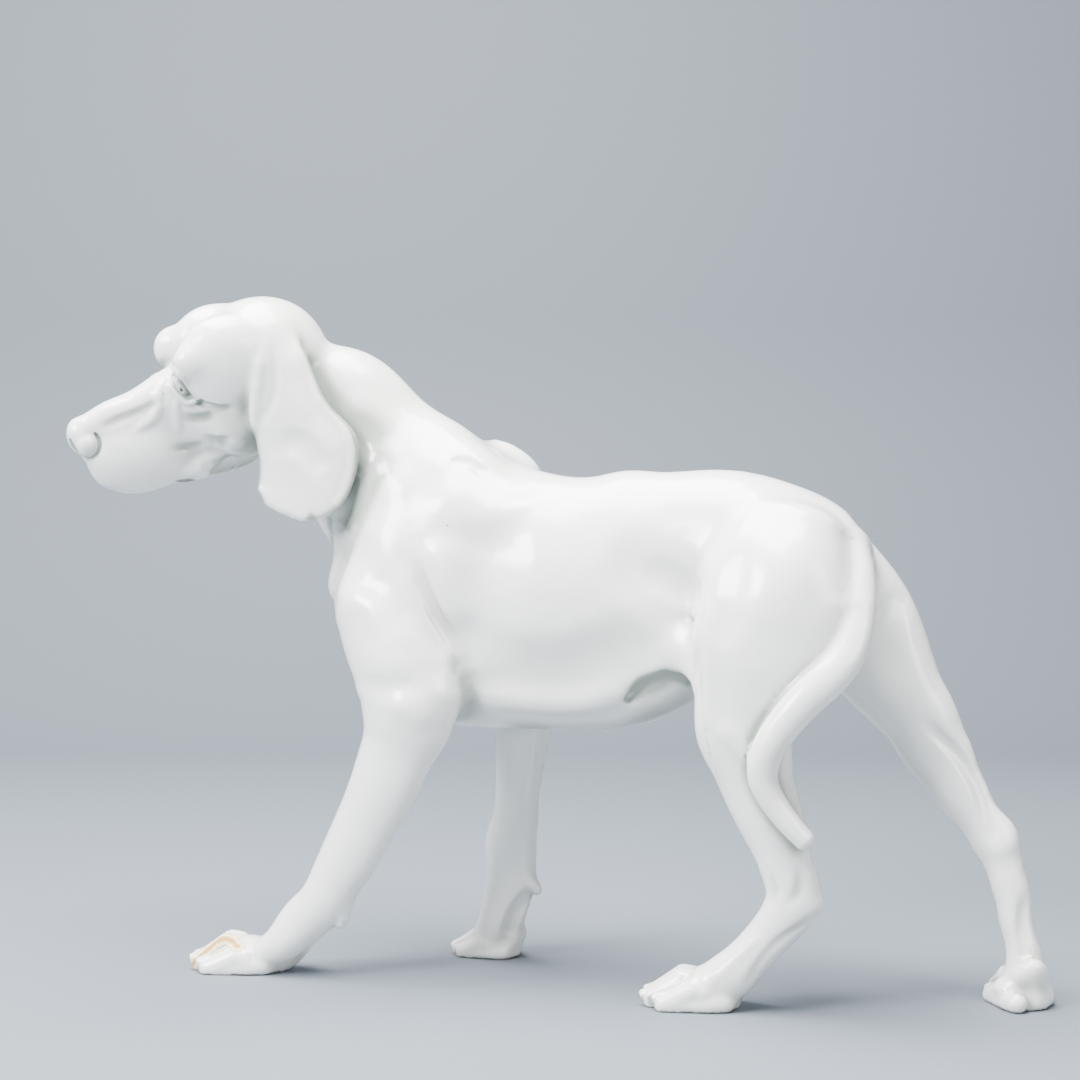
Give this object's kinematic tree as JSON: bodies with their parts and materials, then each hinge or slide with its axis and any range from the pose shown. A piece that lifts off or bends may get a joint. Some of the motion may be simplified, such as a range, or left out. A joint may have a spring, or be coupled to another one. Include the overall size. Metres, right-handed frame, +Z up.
{
  "type": "dog figurine",
  "caption": "Walking young hound cast in one white glazed body with no base, head turned to its left, standing on its own paws.",
  "frame": {"origin": "on the ground, at the middle of the figure's outline seen from above", "axes": "-X toward the nose, +X toward the rear paws, -Y out of the left flank, +Z up"},
  "size_m": [0.779, 0.2416, 0.5609],
  "materials": {
    "glaze": "high-gloss white glaze over a beige body that shows at one chipped toe"
  },
  "bodies": {
    "root": {"dog": "glaze"}
  },
  "joints": []
}
